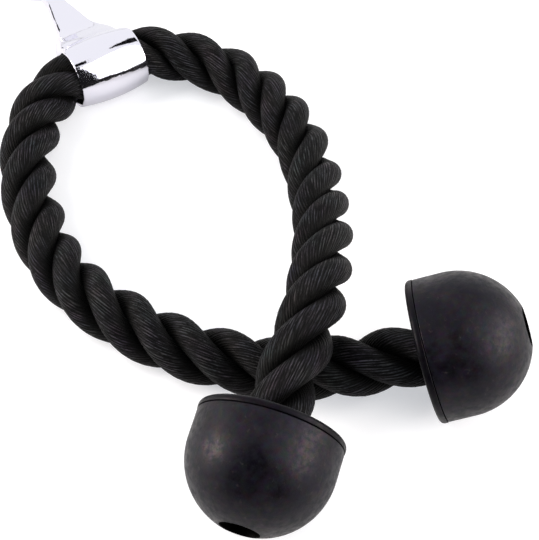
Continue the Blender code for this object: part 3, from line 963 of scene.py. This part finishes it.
def casting_mesh(collar):
    """Barrel, web, neck and eye melted into one skin with soft inner corners, then bored."""
    to_x = UP.rotation_difference(Vector((1, 0, 0))).to_matrix().to_4x4()
    to_eye = Matrix.Translation((0, collar.eye_distance, 0))
    half, rim = collar.length / 2, collar.end_radius - RIM_ROUND
    bulge = collar.radius - collar.end_radius
    barrel = [(0, -half)] + arc((rim, RIM_ROUND - half), RIM_ROUND, -90, 0, 4)
    for i in range(1, 2 * BARREL_STEPS):
        along = i / BARREL_STEPS - 1
        barrel.append((collar.radius - bulge * along**2, (half - RIM_ROUND) * along))
    barrel += arc((rim, half - RIM_ROUND), RIM_ROUND, 0, 90, 4) + [(0, half)]
    rise, edge = collar.eye_thickness / 2, collar.eye_radius - EYE_ROUND
    eye = [(0, -rise)] + arc((edge, EYE_ROUND - rise), EYE_ROUND, -90, 0, 6)
    eye += arc((edge, rise - EYE_ROUND), EYE_ROUND, 0, 90, 6) + [(0, rise)]
    bm = bmesh.new()
    add_turned(bm, barrel, BARREL_SIDES, to_x)
    add_turned(bm, eye, EYE_SIDES, to_eye)
    add_web(bm, collar)
    rough = add_object("rough_casting", finish_mesh("rough_casting", bm))
    melt = rough.modifiers.new("melt", "REMESH")
    melt.mode = "VOXEL"
    melt.voxel_size = collar.grain
    skin = bmesh.new()
    skin.from_mesh(applied(rough, "skin"))
    bpy.data.objects.remove(rough)
    inner = [v for v in skin.verts if v.co.y > WEB_START or abs(v.co.x) < half - RIM_KEPT]
    for _ in range(SOFTENINGS):
        bmesh.ops.smooth_vert(
            skin, verts=inner, factor=0.5, use_axis_x=True, use_axis_y=True, use_axis_z=True
        )
    body = add_object("casting", finish_mesh("casting", skin, sharp_angle=180))
    cutters = []
    for name, profile, matrix in (
        ("bore", through_profile(half, collar.bore, MOUTH_FLARE), to_x),
        ("eye_hole", through_profile(rise, collar.eye_hole, EYE_FLARE), to_eye),
    ):
        mesh = turned(name, profile, CUTTER_SIDES)
        mesh.transform(matrix)
        cutters.append(add_object(name, mesh))
        cut = body.modifiers.new(name, "BOOLEAN")
        cut.object, cut.operation, cut.solver = cutters[-1], "DIFFERENCE", "EXACT"
    mesh = applied(body, "collar_casting")
    for leftover in (body, *cutters):
        bpy.data.objects.remove(leftover)
    return smoothed(mesh, sharp_angle=32)


class ATTACHMENT_OT_collar(bpy.types.Operator):
    """Cast the collar: barrel, web, neck and eye in one chromed piece"""

    bl_idname = "attachment.collar"
    bl_label = "Collar"

    def execute(self, context):
        settings = context.scene.attachment.collar
        chrome = shared_material("polished_chrome_plating", polished_chrome, settings)
        mesh = casting_mesh(settings)
        mesh.transform(Matrix.Translation(joint_place("collar_turn")))
        add_piece("collar_casting", mesh, chrome, "collar", "collar")
        return {"FINISHED"}


LID_ROUND = 0.0020          # of the lid's rim, on the rope's side
LID_EASE = 0.0003           # of the lid's rim, at the seam
LID_MOUTH_ROUND = 0.0010    # of the rope's hole
RING_INSET = 0.0052         # from the lid's rim to the middle of the shallow ring
RING_TOP = 0.0012           # half the ring's width at the face
RING_FLOOR = 0.0008         # half its width at the bottom
RING_DEPTH = 0.0003
SPIGOT_HEIGHT = 0.0078
SPIGOT_WALL = 0.0036
SPIGOT_BEVEL = 0.0007
SHOULDER_ROUND = 0.0005     # of the dome, at the seam
HOLE_EASE = 0.0003          # of the hole at the apex
EASE_ANGLES = (62, 180)     # degrees, from the shell's outside to the hole's wall
SHELL_SHORT = 0.6           # degrees of the shell's outside that the easing takes
BALL_SIDES = 112
MOUTH_LEAN = 3.5            # degrees that the left ball's hole leans
LEAN_TOWARDS = Vector((-0.46, -0.43, 0.78))
LEAN_START = 60             # degrees from the apex, where the lean starts
LEAN_FADE = 35              # degrees over which it comes on in full
SKIN = 0.0002               # depth over which painted shade comes on inside the dome
UNSHADED_SKIN_SHARE = 0.2      # of that depth, which stays free of painted shade
# How much shade is painted over the whole lid
LID_PAINTED_SHADE_SHARE = 0.5


def lid_profile(ball, bore, spigot):
    """The lid: a rounded rim, a shallow ring round the face, the rope's hole and the spigot."""
    seat, ring = ball.lid_thickness, ball.lid_radius - RING_INSET
    top, inside = seat + SPIGOT_HEIGHT, spigot - SPIGOT_WALL
    profile = arc((bore + LID_MOUTH_ROUND, LID_MOUTH_ROUND), LID_MOUTH_ROUND, 180, 270, 4)
    profile += [(ring - RING_TOP, 0), (ring - RING_FLOOR, RING_DEPTH)]
    profile += [(ring + RING_FLOOR, RING_DEPTH), (ring + RING_TOP, 0)]
    profile += arc((ball.lid_radius - LID_ROUND, LID_ROUND), LID_ROUND, -90, 0, 8)
    profile += arc((ball.lid_radius - LID_EASE, seat - LID_EASE), LID_EASE, 0, 90, 3)
    profile += [(spigot, seat), (spigot, top - SPIGOT_BEVEL), (spigot - SPIGOT_BEVEL, top)]
    return profile + [(inside, top), (inside, seat), (bore, seat)]


def dome_profile(ball):
    """The dome: a rounded shoulder at the seam, the round shell and the eased hole."""
    foot, inner = ball.lid_thickness + ball.seam, ball.radius - ball.wall
    rim = math.acos((ball.hole + HOLE_EASE) / ball.radius)
    mouth = ball.centre + ball.radius * math.sin(rim)
    shoulder = (ball.radius - SHOULDER_ROUND, foot + SHOULDER_ROUND)
    profile = arc(shoulder, SHOULDER_ROUND, -90, 0, 8)
    profile += arc((0, ball.centre), ball.radius, 0, math.degrees(rim) - SHELL_SHORT, 40)
    profile += arc((ball.hole + HOLE_EASE, mouth - HOLE_EASE), HOLE_EASE, *EASE_ANGLES, 6)
    profile += arc((0, ball.centre), inner, math.degrees(math.acos(ball.hole / inner)), 0, 16)
    return profile + [(inner, foot)]


def lean_mouth(mesh, ball, way):
    """Lean the hole at the apex, so that its inside shows from the front, as the left ball's
    does in the photograph. The outside stays on its sphere."""
    middle = Vector((0, 0, ball.centre))
    axis = UP.cross(way.to_track_quat("Z", "Y").inverted() @ LEAN_TOWARDS).normalized()
    for v in mesh.vertices:
        out = v.co - middle
        share = eased((LEAN_START - math.degrees(out.angle(UP, 0))) / LEAN_FADE)
        v.co = middle + Matrix.Rotation(math.radians(MOUTH_LEAN) * share, 3, axis) @ out


def mark_painted_shade(mesh, ball, is_lid):
    """Mark where shade is painted on the rubber: the dome from just under its skin, so that its
    inside and the hole's wall read black, and the lid all over by half."""
    if is_lid:
        painted_shade_shares = [LID_PAINTED_SHADE_SHARE] * len(mesh.vertices)
    else:
        middle = Vector((0, 0, ball.centre))
        depths = [(ball.radius - (v.co - middle).length) / SKIN for v in mesh.vertices]
        painted_shade_shares = [min(max(depth - UNSHADED_SKIN_SHARE, 0.0), 1.0) for depth in depths]
    write_attribute(mesh, "painted_shade", painted_shade_shares)


class ATTACHMENT_OT_balls(bpy.types.Operator):
    """Mould the lid and the dome of both balls"""

    bl_idname = "attachment.balls"
    bl_label = "Balls"

    def execute(self, context):
        settings = context.scene.attachment.ball
        rubber = shared_material("moulded_black_rubber", moulded_rubber, settings)
        bore = context.scene.attachment.collar.bore
        spigot = settings.radius - settings.wall - settings.seam
        for side in ("left", "right"):
            for part, profile in (
                ("lid", lid_profile(settings, bore, spigot)), ("dome", dome_profile(settings))
            ):
                mesh = turned(f"{side}_{part}_moulding", profile, BALL_SIDES, sharp_angle=30)
                mark_painted_shade(mesh, settings, is_lid=part == "lid")
                if (side, part) == ("left", "dome"):
                    lean_mouth(mesh, settings, joint_way("left_ball_spin"))
                mesh.transform(ball_stand(side))
                add_piece(mesh.name, mesh, rubber, f"{side}_ball", f"{side}_{part}")
        return {"FINISHED"}


WHIPPING_TURNS = 6
WHIPPING_RADIUS = 0.0142
WHIPPING_FOOT = 0.0262      # from the lid's face to the middle of the first turn
TWINE_RADIUS = 0.0004
TWINE_PITCH = 0.000704      # from one turn to the next, which press into each other a little
TWINE_STEPS = 40            # to a turn
TWINE_SIDES = 8


def whipping_mesh(name):
    """Twine wound side by side round the rope's end."""
    rings = []
    for k in range(WHIPPING_TURNS * TWINE_STEPS + 1):
        turns = k / TWINE_STEPS
        out = Vector((math.cos(TURN * turns), math.sin(TURN * turns), 0))
        centre = out * WHIPPING_RADIUS + UP * (WHIPPING_FOOT + TWINE_PITCH * turns)
        rings.append(round_ring(centre, out, UP, TWINE_RADIUS, TWINE_SIDES))
    bm = bmesh.new()
    add_tube(bm, rings)
    return finish_mesh(name, bm, sharp_angle=60)


class ATTACHMENT_OT_fittings(bpy.types.Operator):
    """Finish the washers and ferrules, and wind the whippings, inside both balls"""

    bl_idname = "attachment.fittings"
    bl_label = "Fittings"

    def execute(self, context):
        zinc = shared_material("zinc_plated_steel", zinc_plated_steel)
        twine = shared_material("waxed_polyester_twine", waxed_twine)
        for side, body in (("left", "rope"), ("right", "right_leg")):
            for part in ("washer", "ferrule"):
                for slot in frame["nodes"][f"{side}_{part}"].material_slots:
                    slot.link = "OBJECT"
                    slot.material = zinc
            mesh = whipping_mesh(f"{side}_twine")
            mesh.transform(ball_stand(side))
            add_piece(mesh.name, mesh, twine, body, f"{side}_whipping")
        return {"FINISHED"}


LAMP_TARGET = Vector((0.0, -0.03, 0.02))


def add_lamp(name, way, distance, size, radiance, colour="#ffffff"):
    """A soft lamp that faces the attachment from a direction. Its radiance is what a mirror
    would show of it, so the power follows from the size."""
    data = bpy.data.lights.new(name, "AREA")
    data.shape = "RECTANGLE"
    data.size, data.size_y = size
    data.energy = radiance * math.pi * size[0] * size[1]
    data.color = hex_colour(colour)
    lamp = add_object(name, data)
    lamp.location = LAMP_TARGET + Vector(way).normalized() * distance
    lamp.rotation_euler = Vector(way).to_track_quat("Z", "Y").to_euler()
    return lamp


def flat_mesh(name, corners):
    """One flat face through its corners."""
    bm = bmesh.new()
    bm.faces.new([bm.verts.new((x, y, 0)) for x, y in corners])
    return mesh_from(name, bm)


def card_board(name, glow):
    """Matt card. To the eye black board swallows the light, and white board glows evenly."""
    return new_material(
        name, Base_Color=(0.004, 0.004, 0.005), Roughness=0.9, Specular_IOR_Level=0.0,
        Emission_Color=(1.0, 1.0, 1.0), Emission_Strength=glow,
    )[0]


def add_card(name, centre, across, up, facing, turn=0, narrow=1.0, glow=0.0):
    """A card off camera, which only mirror-like surfaces show. It reaches across and up from
    its centre, is narrower at the top by a share, and is black unless it glows."""
    board = "white_card" if glow else "black_card"
    top = across * narrow
    mesh = flat_mesh(name, [(-across, -up), (across, -up), (top, up), (-top, up)])
    card = add_object(name, mesh, shared_material(board, card_board, board, glow))
    card.location = centre
    aim = Vector(facing).to_track_quat("Z", "Y").to_matrix()
    card.rotation_euler = (Matrix.Rotation(math.radians(turn), 3, "Z") @ aim).to_euler()
    card.visible_camera = False
    card.visible_diffuse = False
    card.visible_shadow = False
    card.visible_transmission = False


def seen_share(tree):
    """1 for rays that see the background: from the camera, off mirrors and through glass."""
    path = add_node(tree, "LightPath").outputs
    direct = (path["Is Camera Ray"], path["Is Glossy Ray"])
    seen = add_node(tree, "Math", direct, operation="MAXIMUM")
    return add_node(tree, "Math", (seen, path["Is Transmission Ray"]), operation="MAXIMUM")


def white_floor(studio):
    """Seamless white paper. To the eye it is the same white as the page, and only the shadow
    shows that it is there."""
    made, tree, shader = new_material(
        "seamless_white_paper", Base_Color=(0.64, 0.64, 0.64), Roughness=0.9,
        Specular_IOR_Level=0.0,
    )
    # The page's white is brighter than what the chrome shows of the paper, and its shadows are
    # a little blue
    camera = add_node(tree, "LightPath").outputs["Is Camera Ray"]
    lift = {"Value": camera, "To Min": 0.11, "To Max": 0.50 * studio.white}
    strength = add_node(tree, "MapRange", lift)
    glow = add_node(tree, "Emission", {"Color": (0.93, 0.95, 1.0), "Strength": strength})
    lifted = add_node(tree, "AddShader", (glow, shader))
    paper = add_node(tree, "MixShader", (seen_share(tree), shader, lifted))
    feed(tree, tree.nodes["Material Output"], {"Surface": paper})
    return made


def studio_air(studio):
    """The world: soft light from all round, and white where the background is seen."""
    world = bpy.data.worlds.new("studio_air")
    world.use_nodes = True
    tree = world.node_tree
    tree.nodes.clear()
    fill = add_node(tree, "Background", {"Color": (0.97, 0.98, 1.0), "Strength": studio.fill})
    page = add_node(tree, "Background", {"Color": (1.0, 1.0, 1.0), "Strength": studio.white})
    air = add_node(tree, "MixShader", (seen_share(tree), fill, page))
    add_node(tree, "OutputWorld", {"Surface": air})
    return world


class ATTACHMENT_OT_studio(bpy.types.Operator):
    """Set the white floor, the lamps, the cards and the world"""

    bl_idname = "attachment.studio"
    bl_label = "Studio"

    def execute(self, context):
        studio = context.scene.attachment.studio
        side = studio.floor
        sheet = flat_mesh("floor", [(-side, -side), (side, -side), (side, side), (-side, side)])
        add_object("floor", sheet, white_floor(studio))

        # Each lamp's direction, distance, two sides and radiance
        overhead = add_lamp("overhead_softbox", (-0.42, 0.40, 0.82), 1.4, (0.75, 0.60), 5.7)
        overhead.visible_glossy = False
        add_lamp("left_softbox", (-0.814, 0.439, 0.374), 1.1, (0.60, 0.60), 10.5, "#fff4ea")
        add_lamp("right_softbox", (0.70, -0.60, 0.39), 1.1, (1.1, 0.62), 4.6, "#fff3ea")
        add_lamp("front_softbox", (0.35, -0.70, 0.66), 1.3, (1.6, 1.9), 1.22)

        # Each card's place, half its width and height, and the way that it faces
        add_card("viewer_card", (-0.303, -0.416, 1.1), 0.46, 1.1, (0.515, 0.857, 0), narrow=0.40)
        add_card("near_boom_card", (-0.07, -0.02, 1.0), 0.12, 0.10, (0, 0, -1))
        add_card("far_boom_card", (0.58, 0.31, 1.0), 0.26, 0.24, (0, 0, -1), turn=108.9, narrow=0.1)
        add_card("horizon_card", (0.30, -1.00, 0.03), 0.45, 0.030, (-0.3, 0.95, 0))
        add_card("back_card", (-0.30, 0.88, 0.19), 0.10, 0.14, (0.375, -0.927, 0))
        add_card("paper_card", (0.17, 0.42, 0.002), 0.17, 0.28, (0, 0, 1), glow=0.95)

        context.scene.world = studio_air(studio)
        context.scene.view_settings.view_transform = "Standard"
        return {"FINISHED"}


OPERATORS = (
    ATTACHMENT_OT_camera,
    ATTACHMENT_OT_left_leg,
    ATTACHMENT_OT_right_leg,
    ATTACHMENT_OT_held_rope,
    ATTACHMENT_OT_collar,
    ATTACHMENT_OT_balls,
    ATTACHMENT_OT_fittings,
    ATTACHMENT_OT_studio,
)


class ATTACHMENT_PT_panel(bpy.types.Panel):
    """Lists the pieces and their settings"""

    bl_idname = "ATTACHMENT_PT_panel"
    bl_label = "Rope attachment"
    bl_space_type = "VIEW_3D"
    bl_region_type = "UI"
    bl_category = "Rope"

    def draw(self, context):
        settings = context.scene.attachment
        for operator in OPERATORS:
            self.layout.operator(operator.bl_idname)
        for group in (settings.rope, settings.collar, settings.ball, settings.studio):
            box = self.layout.box()
            for name in group.__annotations__:
                box.prop(group, name)


CLASSES = (
    LaidRopeSettings, CollarSettings, BallSettings, StudioSettings, AttachmentSettings,
    *OPERATORS, ATTACHMENT_PT_panel,
)


def register():
    for made in CLASSES:
        bpy.utils.register_class(made)
    bpy.types.Scene.attachment = bpy.props.PointerProperty(type=AttachmentSettings)


def unregister():
    del bpy.types.Scene.attachment
    for made in reversed(CLASSES):
        bpy.utils.unregister_class(made)


def main():
    register()
    for operator in OPERATORS:
        space, name = operator.bl_idname.split(".")
        getattr(getattr(bpy.ops, space), name)()


if __name__ == "__main__":
    main()
